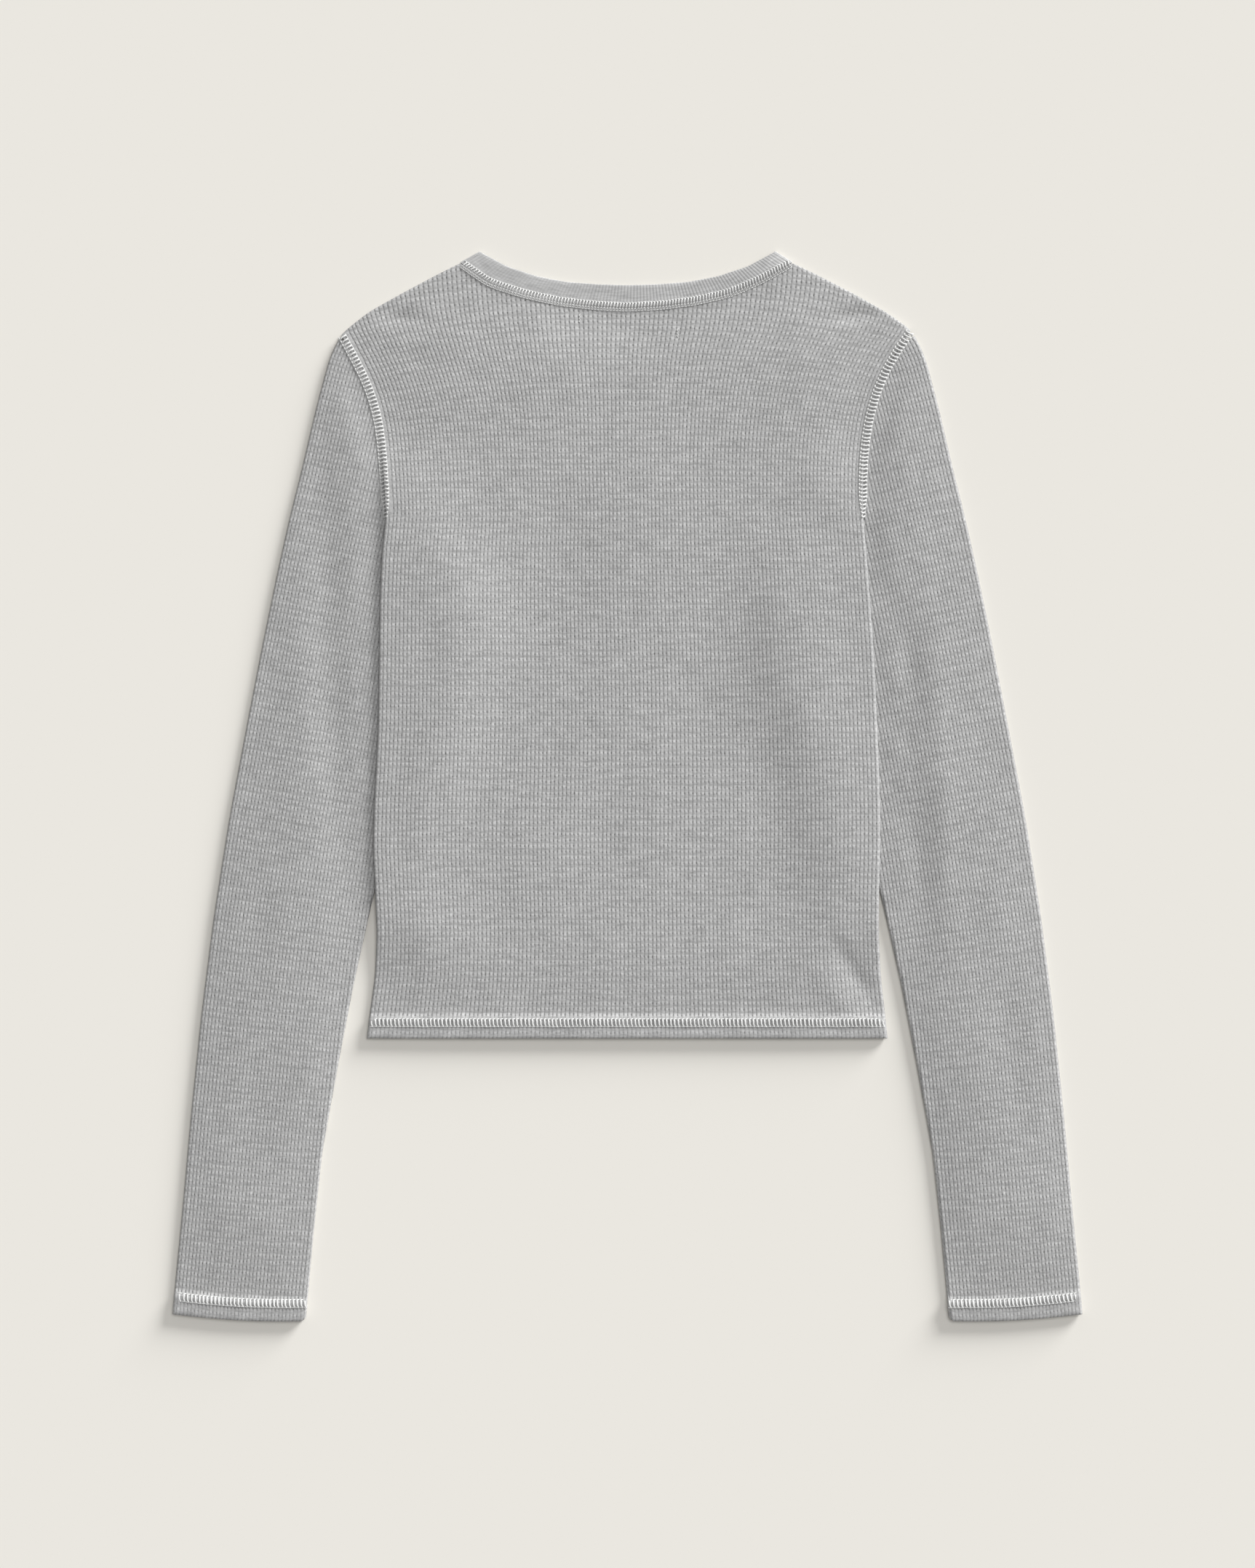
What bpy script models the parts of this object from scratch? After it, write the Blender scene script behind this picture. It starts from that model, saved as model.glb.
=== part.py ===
"""Cropped long-sleeved thermal top in waffle knit, lying flat on its front with its back upwards.

Five cut pieces, each a closed wall of cloth: back, front, two sleeves and a neckband. The front
lies on the ground and the back on the front. The inner edge of each sleeve is tucked under the
side of the body, which rises over it. The side and shoulder seams lie in the folds.

The tables are in millimetres, as a maker measures a garment: "across" from the centre line and
"down" from the two neck points. In the model X runs across, Y towards the neck and Z up. Left
and right are the wearer's, so the left sleeve lies at -X.
"""
from collections import namedtuple

import bmesh
import bpy
import numpy as np

MM = 0.001

# Overall sizes
LENGTH = 668.7          # neck points to the lowest point of the cuffs
HEM_DOWN = 491.9        # neck points to the hem edge
CUFF_ACROSS = (284.3, 200.8)    # outer and inner corner of a cuff
CUFF_DOWN = (664.2, 668.6)
CUFF_BOW = 1.6          # how far the cuff edge bows beyond its corners

# Cloth and seams
CLOTH = 1.5             # waffle knit
RIB = 1.7               # neckband, fine rib folded double
TURNING = 2.6           # waffle knit where the hem and cuffs are turned up and pressed
TURNING_DEPTH = 14.0    # how far the hem and cuffs are turned up
TURNING_STEP = 1.6      # run over which that turning thins back to one layer
LAYERS = 0.5            # least air between two layers that lie on each other
SEAM = 0.3              # clearance between two pieces along a seam
FOLD = 2.4              # how far in from a fold the cloth takes to lie flat
FOLD_WALL = 0.75        # wall left on each panel where its side or shoulder seam folds over

# How it lies
BODY_LOFT, BODY_LOFT_RUN = 1.8, 45.0        # extra air in the body, and how far in it is reached
SLEEVE_LOFT, CUFF_RUN = 2.6, 60.0           # extra air in a sleeve, and where it ends at the cuff
TUCK_LIFT = 3.9                             # height of the body over a tucked sleeve
TUCK_PLATEAU, TUCK_RAMP = 14.0, 40.0        # past the tucked edge: level, then down to the ground
LIFT_START, LIFT_FULL = 112.0, 158.0        # down: the body starts to rise, and is fully up
LIFT_HOLDS, LIFT_END = 416.0, 452.0         # down: it starts to sink, and lies flat again
NECK_SAG = 0.85                             # share of its height the back loses over the open neck
NECK_SAG_START, NECK_SAG_RUN = 8.0, 22.0
CREASE_REACH, CREASE_RISE = 12.5, 24.0      # crease beside an armhole, and the slope beyond it
SEAM_DROP = 14.0                            # run over which a sleeve comes down from the body
EDGE_REST = 22.0                            # strip beside the body where the sleeve is pressed flat
GAP_DOWN, GAP_RUN = 400.0, 50.0             # down: the sleeve parts from the body
FRONT_SCOOP = 6.0                           # how much deeper the front armhole is cut

Row = namedtuple("Row", "down across")
Pair = namedtuple("Pair", "down left right")
Tuck = namedtuple("Tuck", "down under")

BACK_NECK_EDGE = [Row(0.0, 91.9), Row(4.8, 84.9), Row(8.4, 77.6), Row(12.0, 67.1),
                  Row(15.8, 54.6), Row(19.3, 34.0), Row(20.9, 0.0)]
BACK_NECK_SEAM = [Pair(6.6, 104.0, 102.9), Pair(13.9, 96.6, 90.4), Pair(20.6, 84.0, 77.0),
                  Pair(26.4, 65.0, 62.5), Pair(31.9, 37.6, 35.6), Pair(34.8, 0.0, 0.0)]
FRONT_NECK_EDGE = [Row(0.0, 91.9), Row(22.0, 83.5), Row(44.0, 68.0), Row(62.0, 46.0),
                   Row(73.0, 23.0), Row(76.0, 0.0)]
FRONT_NECK_SEAM = [Pair(6.6, 104.0, 102.9), Pair(28.0, 95.5, 95.5), Pair(53.0, 78.0, 78.0),
                   Pair(74.0, 52.5, 52.5), Pair(87.0, 25.5, 25.5), Pair(90.2, 0.0, 0.0)]
SHOULDER = [Row(44.6, 172.6), Row(36.8, 160.0), Row(22.9, 135.0)]
ARMHOLE = {
    "left": [Row(52.2, 178.9), Row(63.5, 172.7), Row(77.4, 165.4), Row(89.4, 160.4),
             Row(103.5, 156.5), Row(117.2, 154.2), Row(138.0, 152.4), Row(163.6, 150.9)],
    "right": [Row(49.6, 177.4), Row(60.7, 169.5), Row(71.7, 163.1), Row(80.3, 158.6),
              Row(94.9, 153.5), Row(112.6, 149.6), Row(134.0, 147.4), Row(163.6, 147.1)],
}
BODY_SIDE = [Pair(163.6, 150.9, 147.1), Pair(182.0, 152.8, 148.7), Pair(208.0, 154.3, 150.6),
             Pair(230.0, 154.8, 152.4), Pair(255.0, 155.1, 154.0), Pair(303.0, 155.9, 156.2),
             Pair(345.0, 158.2, 157.7), Pair(384.0, 158.7, 157.7), Pair(414.0, 156.5, 156.7),
             Pair(449.0, 157.4, 158.0), Pair(468.0, 160.1, 160.2), Pair(HEM_DOWN, 162.9, 162.5)]
SLEEVE_OUTER = [Row(61.2, 185.0), Row(74.8, 188.4), Row(102.0, 195.7), Row(129.4, 201.8),
                Row(170.4, 212.1), Row(225.0, 223.9), Row(279.6, 234.6), Row(334.2, 245.2),
                Row(388.8, 254.6), Row(443.4, 262.2), Row(498.0, 268.7), Row(552.6, 274.0),
                Row(607.2, 278.9), Row(648.0, 283.0), Row(CUFF_DOWN[0], CUFF_ACROSS[0])]
SLEEVE_TUCK = [Tuck(170.0, -0.8), Tuck(177.0, -0.8), Tuck(184.0, 8.0), Tuck(194.0, 24.0),
               Tuck(208.0, 36.0), Tuck(228.0, 39.0), Tuck(260.0, 35.0), Tuck(305.0, 24.0),
               Tuck(352.0, 12.5), Tuck(390.0, 3.0)]
SLEEVE_INNER = [Row(416.1, 162.0), Row(443.4, 167.6), Row(470.7, 174.0), Row(498.0, 179.0),
                Row(525.3, 183.8), Row(552.6, 189.0), Row(579.9, 193.0), Row(607.2, 195.5),
                Row(634.5, 198.6), Row(CUFF_DOWN[1], CUFF_ACROSS[1])]

# How finely the walls are divided
SHOULDER_STEPS, NECK_STEPS, ARMHOLE_STEPS, FLANK_STEPS = 4, 10, 8, 13
SLEEVE_STATIONS = [0.0, 0.009, 0.018, 0.029, 0.043, 0.06, 0.08, 0.105, 0.14, 0.19, 0.25, 0.32,
                   0.40, 0.50, 0.60, 0.70, 0.80, 0.89]

SIGN = {"left": -1.0, "right": 1.0}
MARL_GREY = (0.42, 0.42, 0.42)
RIB_GREY = (0.45, 0.45, 0.45)
CLOTH_ROUGHNESS = 0.95


def smooth(value):
    """Ease from 0 to 1 as the value goes from 0 to 1."""
    value = np.clip(value, 0.0, 1.0)
    return value * value * (3.0 - 2.0 * value)


def curve(points, fractions):
    """Points at fractions of the length of a smooth curve through all the given points."""
    points = np.array(points, float)
    ends = np.vstack([2 * points[0] - points[1], points, 2 * points[-1] - points[-2]])
    t = np.linspace(0.0, 1.0, 16, endpoint=False)[:, None]
    spans = [0.5 * (2 * b + (c - a) * t + (2 * a - 5 * b + 4 * c - d) * t ** 2
                    + (3 * b - a - 3 * c + d) * t ** 3)
             for a, b, c, d in zip(ends, ends[1:], ends[2:], ends[3:])]
    dense = np.vstack(spans + [points[-1:]])
    run = np.concatenate([[0.0], np.cumsum(np.linalg.norm(np.diff(dense, axis=0), axis=1))])
    stations = np.asarray(fractions) * run[-1]
    return np.column_stack([np.interp(stations, run, dense[:, axis]) for axis in (0, 1)])


def length(points):
    """Length of the smooth curve through the points."""
    return np.linalg.norm(np.diff(curve(points, np.linspace(0, 1, 80)), axis=0), axis=1).sum()


def steps(count, span, ends=2):
    """Even fractions of a span, with one more a fold's width from its first or from both ends."""
    near = FOLD / span
    middle = np.linspace(0.0, 1.0, count + 1)[1:-1]
    return np.concatenate([[0.0, near], middle, [1.0 - near] * (ends - 1), [1.0]])


def places(rows, side):
    """(across, down) of a table's rows on one side of the garment."""
    return [(SIGN[side] * getattr(row, side if isinstance(row, Pair) else "across"), row.down)
            for row in rows]


def both_sides(rows):
    """(across, down) of a neck table's rows, from the left neck point to the right one."""
    return places(rows, "left") + places(rows, "right")[-2::-1]


def flank_edge(down, side):
    """How far from the centre line the body's side edge lies."""
    return np.interp(down, [row.down for row in BODY_SIDE],
                     [getattr(row, side) for row in BODY_SIDE])


def tucked_edge(down, side):
    """How far from the centre line the sleeve's edge lies under the body."""
    under = np.interp(down, [row.down for row in SLEEVE_TUCK],
                      [row.under for row in SLEEVE_TUCK], left=0.0, right=0.0)
    return flank_edge(down, side) - under


def lift(place):
    """Height of the body's underside above the ground, where it lies over the tucked sleeves."""
    across, down = place[..., 0], place[..., 1]
    along = smooth((down - LIFT_START) / (LIFT_FULL - LIFT_START))
    along = along * (1.0 - smooth((down - LIFT_HOLDS) / (LIFT_END - LIFT_HOLDS)))
    height = np.zeros(down.shape)
    for side, sign in SIGN.items():
        start = tucked_edge(down, side) - TUCK_PLATEAU - TUCK_RAMP
        height = height + smooth((sign * across - start) / TUCK_RAMP)
    return TUCK_LIFT * along * height


def back_underside(place, front_wall=CLOTH):
    """Height of the back's underside: over the front, but sunk where the open neck leaves it."""
    line = curve(both_sides(FRONT_NECK_EDGE), np.linspace(0.0, 1.0, 80))
    away = np.linalg.norm(place[..., None, :] - line, axis=-1).min(axis=-1)
    edge = np.interp(place[..., 0], line[:, 0], line[:, 1], left=-LENGTH, right=-LENGTH)
    away = np.where(place[..., 1] < edge, away, 0.0)
    sag = NECK_SAG * smooth((away - NECK_SAG_START) / NECK_SAG_RUN)
    return lift(place) + (front_wall + LAYERS) * (1.0 - sag)


def fill(bottom, top, left, right, over, up, reach=1):
    """A grid of places between four edges; over and up are its fractions across and along.

    Lines run straight from the bottom to the top, and bend with the side edges near to those:
    the higher the reach, the nearer.
    """
    s, t = over[None, :, None], up[:, None, None]
    bend_left = left[:, None] - ((1 - t) * bottom[0] + t * top[0])
    bend_right = right[:, None] - ((1 - t) * bottom[-1] + t * top[-1])
    return (1 - t) * bottom + t * top + (1 - s) ** reach * bend_left + s ** reach * bend_right


def seam_side(line, towards):
    """The seam line moved half its clearance towards one of the two pieces that it joins."""
    along = np.gradient(line, axis=0)
    along /= np.linalg.norm(along, axis=1)[:, None]
    return line + np.column_stack([-along[:, 1], along[:, 0]]) * towards * 0.5 * SEAM


def corner(place, height):
    """Model coordinates of a place on the tables at a height in millimetres."""
    return (place[0] * MM, (0.5 * LENGTH - place[1]) * MM, height * MM)


def skin(name, loops, closed, colour):
    """Make one named piece by skinning closed loops of corners, one after another.

    A closed run joins its last loop to its first. An open one is capped, its loops being the
    lower corners of a row in order and then the upper ones in reverse.
    """
    bm = bmesh.new()
    rings = [[bm.verts.new(place) for place in loop] for loop in loops]
    pairs = list(zip(rings, rings[1:])) + ([(rings[-1], rings[0])] if closed else [])
    for ring, after in pairs:
        for k in range(len(ring)):
            bm.faces.new((ring[k - 1], ring[k], after[k], after[k - 1]))
    if not closed:
        for ring in (rings[0], rings[-1]):
            for k in range(len(ring) // 2 - 1):
                bm.faces.new((ring[k], ring[k + 1], ring[-k - 2], ring[-k - 1]))
    bmesh.ops.triangulate(bm, faces=bm.faces)
    bmesh.ops.recalc_face_normals(bm, faces=bm.faces)
    mesh = bpy.data.meshes.new(name)
    bm.to_mesh(mesh)
    bm.free()
    mesh.shade_smooth()
    mesh.set_sharp_from_angle(angle=0.9)
    cloth = bpy.data.materials.new(name + "_cloth")
    cloth.use_nodes = True
    shader = cloth.node_tree.nodes["Principled BSDF"]
    shader.inputs["Base Color"].default_value = (*colour, 1.0)
    shader.inputs["Roughness"].default_value = CLOTH_ROUGHNESS
    shader.inputs["Metallic"].default_value = 0.0
    mesh.materials.append(cloth)
    bpy.context.scene.collection.objects.link(bpy.data.objects.new(name, mesh))


def armhole(side, front):
    """An armhole from the shoulder point to the underarm; the front one is scooped deeper."""
    rows = places(ARMHOLE[side], side)
    line = curve(rows, steps(ARMHOLE_STEPS, length(rows)))
    if front:
        line[:, 0] -= SIGN[side] * FRONT_SCOOP * np.sin(np.pi * np.linspace(0, 1, len(line)))
    return line


def neck_line(rows):
    """A neck edge or seam from neck point to neck point, at the stations of the neckband."""
    rows = both_sides(rows)
    return curve(rows, steps(NECK_STEPS, length(rows)))


def body_panel(name, front):
    """Front or back: a wall on a grid from the hem up to the shoulders and the neck seam."""
    edges = {}
    for side, sign in SIGN.items():
        flank = places(BODY_SIDE, side)[::-1]
        span = length(flank)
        run = np.concatenate([[0.0, TURNING_DEPTH - TURNING_STEP],
                              np.linspace(TURNING_DEPTH, span, FLANK_STEPS)])
        arm = seam_side(armhole(side, front), sign)
        edges[side] = np.vstack([curve(flank, run / span)[:-1], arm[::-1]])
    neck = seam_side(neck_line(FRONT_NECK_SEAM if front else BACK_NECK_SEAM), 1.0)
    slopes = {}
    for side, end in (("left", neck[0]), ("right", neck[-1])):
        slope = [edges[side][-1], *places(SHOULDER, side), end]
        slopes[side] = curve(slope, steps(SHOULDER_STEPS, length(slope), ends=1))
    top = np.vstack([slopes["left"], neck[1:-1], slopes["right"][::-1]])
    over = (top[:, 0] - top[0, 0]) / (top[-1, 0] - top[0, 0])
    hem = np.interp(over, [0, 1], [edges["left"][0, 0], edges["right"][0, 0]])
    bottom = np.column_stack([hem, np.full(len(over), HEM_DOWN)])
    runs = [np.linalg.norm(np.diff(edges[side], axis=0), axis=1).cumsum() for side in SIGN]
    up = np.concatenate([[0.0], 0.5 * (runs[0] / runs[0][-1] + runs[1] / runs[1][-1])])
    place = fill(bottom, top, edges["left"], edges["right"], over, up, reach=5)

    thick = np.full(place.shape[:2], CLOTH)
    thick[:2] = TURNING
    ground, over_front = lift(place), back_underside(place, thick)
    if front:
        low = ground
    else:
        from_side = np.minimum(place[..., 0] - place[:, :1, 0], place[:, -1:, 0] - place[..., 0])
        from_end = np.minimum(HEM_DOWN - place[..., 1], place[..., 1] - top[None, :, 1])
        loft = smooth(from_side / BODY_LOFT_RUN) * smooth(from_end / BODY_LOFT_RUN)
        low = over_front + BODY_LOFT * loft
    high = low + thick

    middle = 0.5 * (ground + over_front + thick)
    folded = np.zeros(low.shape, bool)
    folded[:FLANK_STEPS + 2, [0, -1]] = True
    folded[-1, :len(slopes["left"])] = True
    folded[-1, -len(slopes["right"]):] = True
    if front:
        high = np.where(folded, middle - 0.5 * SEAM, high)
        low = np.where(folded, high - FOLD_WALL, low)
    else:
        low = np.where(folded, middle + 0.5 * SEAM, low)
        high = np.where(folded, low + FOLD_WALL, high)
    loops = [[corner(p, z) for p, z in zip(row, under)]
             + [corner(p, z) for p, z in zip(row[::-1], upper[::-1])]
             for row, under, upper in zip(place, low, high)]
    skin(name, loops, False, MARL_GREY)


def sleeve(name, side):
    """A flattened tube, open at the armhole and the cuff, folded at its outer and inner edge."""
    top_arm = seam_side(armhole(side, False), -SIGN[side])
    under_arm = seam_side(armhole(side, True), -SIGN[side])
    under_arm[[0, -1]] = top_arm[[0, -1]]
    over = steps(ARMHOLE_STEPS, length(places(ARMHOLE[side], side)))
    outer = [top_arm[0], *places(SLEEVE_OUTER, side)]
    tucked = [(SIGN[side] * tucked_edge(row.down, side), row.down) for row in SLEEVE_TUCK]
    inner = [top_arm[-1], *tucked, *places(SLEEVE_INNER, side)]
    up = np.concatenate([SLEEVE_STATIONS, 1.0 - np.array(
        [TURNING_DEPTH, TURNING_DEPTH - TURNING_STEP, 0.0]) / length(outer)])
    outer, inner = curve(outer, up), curve(inner, up)
    cuff = outer[-1] + (inner[-1] - outer[-1]) * over[:, None]
    cuff[:, 1] += CUFF_BOW * np.sin(np.pi * over)

    grids = {}
    for layer, arm in (("under", under_arm), ("top", top_arm)):
        place = fill(arm, cuff, outer, inner, over, up)
        from_arm = np.linalg.norm(place - place[0], axis=2)
        grids[layer] = place, lift(place[0]) * (1.0 - smooth(from_arm / SEAM_DROP)), from_arm
    under, under_low, _ = grids["under"]
    top, ground, from_arm = grids["top"]
    from_cuff = np.linalg.norm(top - top[-1], axis=2)
    thick = np.full(top.shape[:2], CLOTH)
    thick[-2:] = TURNING
    round_over = np.sin(np.pi * over)
    clear_arm = smooth((from_arm - CREASE_REACH * round_over) / CREASE_RISE)
    from_body = SIGN[side] * top[..., 0] - flank_edge(top[..., 1], side)
    parted = smooth((top[..., 1] - GAP_DOWN) / GAP_RUN)
    clear_body = 1.0 - (1.0 - smooth(from_body / EDGE_REST)) * (1.0 - parted)
    loft = round_over ** 0.7 * clear_arm * clear_body * smooth(from_cuff / CUFF_RUN)
    top_low = ground + thick + LAYERS + SLEEVE_LOFT * loft
    top_high, under_high = top_low + thick, under_low + thick
    middle = 0.5 * (under_low + top_high)

    def rings(below, above, fold_in):
        """Loops round the tube through one face of its wall, set in from the folded edges."""
        share = fold_in / FOLD
        loops = []
        for j in range(len(up)):
            ends = [corner(top[j, e] + (top[j, n] - top[j, e]) * share, middle[j, e])
                    for e, n in ((0, 1), (-1, -2))]
            lower = [corner(under[j, k], below[j, k]) for k in range(1, len(over) - 1)]
            upper = [corner(top[j, k], above[j, k]) for k in range(1, len(over) - 1)]
            loops.append([ends[0], *lower, ends[1], *upper[::-1]])
        return loops

    outside = rings(under_low, top_high, 0.0)
    inside = rings(under_high, top_low, CLOTH + 0.5 * LAYERS)
    skin(name, outside + inside[::-1], True, MARL_GREY)


def neckband(name):
    """A ring of folded rib: the back half on top, turned over at the neck points to the front."""
    sections = []
    for front in (False, True):
        edge = neck_line(FRONT_NECK_EDGE if front else BACK_NECK_EDGE)
        seam = seam_side(neck_line(FRONT_NECK_SEAM if front else BACK_NECK_SEAM), -1.0)
        for k in range(1, len(edge) - 1):
            heights = [0.0 if front else float(back_underside(p)) for p in (seam[k], edge[k])]
            flip = RIB if front else 0.0
            faces = [(seam[k], heights[0] + RIB - flip), (edge[k], heights[1] + RIB - flip),
                     (edge[k], heights[1] + flip), (seam[k], heights[0] + flip)]
            sections.append([corner(p, z) for p, z in faces])
        if front:
            sections[-(len(edge) - 2):] = sections[-(len(edge) - 2):][::-1]
        else:
            back_edge, back_seam = edge, seam
    middle = 0.5 * (CLOTH + LAYERS + RIB)
    turns = []
    for end, beside in ((0, 1), (-1, -2)):
        edge_in = back_edge[end] + (back_edge[beside] - back_edge[end]) * RIB / FOLD
        seam_in = back_seam[end] + (back_seam[beside] - back_seam[end]) * RIB / FOLD
        turns.append([corner(p, middle) for p in (back_seam[end], back_edge[end], edge_in, seam_in)])
    count = len(sections) // 2
    skin(name, [turns[0], *sections[:count], turns[1], *sections[count:]], True, RIB_GREY)


for leftover in list(bpy.data.objects):
    bpy.data.objects.remove(leftover, do_unlink=True)

body_panel("front_panel", front=True)
body_panel("back_panel", front=False)
sleeve("left_sleeve", "left")
sleeve("right_sleeve", "right")
neckband("neckband")
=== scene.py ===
"""Looks of a cropped thermal top in grey marl waffle knit, laid flat on its front."""
import math

import bmesh
import bpy
import numpy as np
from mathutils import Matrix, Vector
from mathutils.bvhtree import BVHTree


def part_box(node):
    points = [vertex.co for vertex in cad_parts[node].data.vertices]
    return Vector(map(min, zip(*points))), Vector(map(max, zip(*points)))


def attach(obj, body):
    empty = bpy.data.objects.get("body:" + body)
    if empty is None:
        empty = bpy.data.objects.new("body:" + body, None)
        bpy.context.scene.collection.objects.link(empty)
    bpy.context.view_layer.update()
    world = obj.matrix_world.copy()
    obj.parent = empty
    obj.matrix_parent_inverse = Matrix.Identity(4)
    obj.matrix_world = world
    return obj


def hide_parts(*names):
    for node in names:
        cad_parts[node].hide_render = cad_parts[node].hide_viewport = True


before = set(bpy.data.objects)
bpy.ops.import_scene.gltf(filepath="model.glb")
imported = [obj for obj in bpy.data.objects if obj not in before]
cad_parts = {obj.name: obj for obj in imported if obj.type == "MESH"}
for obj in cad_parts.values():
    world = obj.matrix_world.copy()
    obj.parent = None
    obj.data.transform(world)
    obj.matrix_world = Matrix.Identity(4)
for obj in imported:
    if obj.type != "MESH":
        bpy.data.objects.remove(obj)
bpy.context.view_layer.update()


# ----------------------------------------------------------------------------------------------
# Waffle knit
# The cloth of the body and the sleeves: grey marl yarn knitted into cells, with a groove between
# two wales, a pit in the groove at each course and a raised float beside it. In the colour, grooves
# and pits are darkened with painted shade and floats lightened with a painted highlight. Each piece
# carries its own grain as an attribute: wales across, courses along, and how flat it is pressed.
# ----------------------------------------------------------------------------------------------
MARL = (0.425, 0.424, 0.421)
CLOTH_ROUGHNESS = 0.93
CLOTH_SHEEN = 0.12
CLOTH_GLOSS = 0.2


class Nodes:
    """Adds nodes to a tree and links them, so that a material reads as one formula."""

    def __init__(self, tree):
        self.tree = tree

    def add(self, kind, inputs=None, **settings):
        node = self.tree.nodes.new(kind)
        for name, value in settings.items():
            setattr(node, name, value)
        for name, value in (inputs or {}).items():
            if isinstance(value, bpy.types.NodeSocket):
                self.tree.links.new(value, node.inputs[name])
            else:
                node.inputs[name].default_value = value
        return node

    def math(self, operation, first, second=0.0, third=0.0):
        inputs = {0: first, 1: second, 2: third}
        return self.add("ShaderNodeMath", inputs, operation=operation).outputs[0]

    def peak(self, value, sharpness, offset=0.0):
        """1 where the value is a whole number, falling to 0 half-way; or moved by an offset."""
        turn = self.math("MULTIPLY", self.math("ADD", value, offset), math.pi)
        return self.math("POWER", self.math("ABSOLUTE", self.math("COSINE", turn)), sharpness)

    def noise(self, vector, scale, detail=1.0, roughness=0.5):
        return self.add("ShaderNodeTexNoise", {"Vector": vector, "Scale": scale, "Detail": detail,
                                               "Roughness": roughness}).outputs["Fac"]

    def spread(self, noise, low, high):
        """A noise stretched so that its usual range fills low to high."""
        return self.add("ShaderNodeMapRange", {"Value": noise, "From Min": 0.3, "From Max": 0.7,
                                               "To Min": low, "To Max": high}).outputs[0]


def new_group(name, inputs, outputs):
    group = bpy.data.node_groups.new(name, "ShaderNodeTree")
    for direction, sockets in (("INPUT", inputs), ("OUTPUT", outputs)):
        for socket, kind in sockets.items():
            group.interface.new_socket(socket, in_out=direction, socket_type="NodeSocket" + kind)
    nodes = Nodes(group)
    return group, nodes, nodes.add("NodeGroupInput").outputs, nodes.add("NodeGroupOutput").inputs


def marl_group():
    """Fibres of lighter and darker grey, drawn out along the courses."""
    group, nodes, given, put = new_group(
        "grey_marl", {"Grain": "Vector", "Color": "Color", "Contrast": "Float"},
        {"Color": "Color"})
    fine = nodes.add("ShaderNodeVectorMath", {0: given["Grain"], 1: (0.9, 3.4, 1.0)},
                     operation="MULTIPLY").outputs[0]
    streaks = nodes.spread(nodes.noise(fine, 1.0, 2.0, 0.6), -1.0, 1.0)
    broad = nodes.spread(nodes.noise(given["Grain"], 0.045, 2.0), -0.25, 0.25)
    drawn = nodes.add("ShaderNodeVectorMath", {0: given["Grain"], 1: (0.16, 0.95, 1.0)},
                      operation="MULTIPLY").outputs[0]
    drawn = nodes.spread(nodes.noise(drawn, 1.0, 2.0, 0.65), -0.75, 0.75)
    streaks = nodes.math("ADD", streaks, drawn)
    amount = nodes.math("MULTIPLY", nodes.math("ADD", streaks, broad), given["Contrast"])
    tone = nodes.math("ADD", amount, 1.0)
    colour = nodes.add("ShaderNodeVectorMath", {0: given["Color"], 1: (1.0, 1.0, 1.0)},
                       operation="MULTIPLY")
    nodes.tree.links.new(tone, colour.inputs[1])
    nodes.tree.links.new(colour.outputs[0], put["Color"])
    return group


def waffle_group():
    """Painted shade for the colour of the cells, and their height: grooves and pits painted darker,
    floats painted lighter, none quite like its neighbour.
    """
    group, nodes, given, put = new_group("waffle_cells", {"Grain": "Vector"},
                                         {"Painted Shade": "Float", "Height": "Float"})
    grain = nodes.add("ShaderNodeSeparateXYZ", {"Vector": given["Grain"]}).outputs
    flat = nodes.add("ShaderNodeCombineXYZ", {"X": grain["X"], "Y": grain["Y"]}).outputs[0]
    sway = nodes.spread(nodes.noise(flat, 0.8), -0.07, 0.07)
    wale = nodes.math("ADD", grain["X"], sway)
    course = nodes.math("ADD", grain["Y"], nodes.spread(nodes.noise(flat, 0.55), -0.14, 0.14))
    groove = nodes.peak(wale, 7.0)
    pit = nodes.math("MULTIPLY", nodes.peak(wale, 12.0), nodes.peak(course, 7.0))
    rib = nodes.peak(wale, 1.5, 0.5)
    swell = nodes.math("MULTIPLY", rib, nodes.peak(course, 2.0))
    ladder = nodes.peak(course, 5.0, 0.5)
    uneven = nodes.spread(nodes.noise(flat, 0.62, 1.0), 0.35, 1.65)
    patchy = nodes.spread(nodes.noise(flat, 0.33, 2.0), 0.0, 1.7)

    # Painted shade: grooves, pits and the gaps between rows are darkened, and floats are lightened
    # as a painted highlight, all multiplied into the colour
    shade = nodes.math("MULTIPLY_ADD", groove, -0.19, 1.03)
    shade = nodes.math("MULTIPLY_ADD", nodes.math("MULTIPLY", pit, uneven), -0.36, shade)
    shade = nodes.math("MULTIPLY_ADD", nodes.math("MULTIPLY", swell, uneven), 0.17, shade)
    shade = nodes.math("MULTIPLY_ADD", nodes.math("MULTIPLY", ladder, patchy), -0.09, shade)
    height = nodes.math("MULTIPLY_ADD", groove, -0.5, 0.5)
    height = nodes.math("MULTIPLY_ADD", pit, -0.5, height)
    height = nodes.math("MULTIPLY_ADD", swell, 0.5, height)

    # Pressed knit shows less of this painted shade
    shown = nodes.math("SUBTRACT", 1.0, grain["Z"])
    shade = nodes.math("MULTIPLY_ADD", nodes.math("SUBTRACT", shade, 1.0), shown, 1.0)
    nodes.tree.links.new(shade, put["Painted Shade"])
    nodes.tree.links.new(nodes.math("MULTIPLY", height, shown), put["Height"])
    return group


marl_fibres = marl_group()
waffle_cells = waffle_group()


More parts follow.
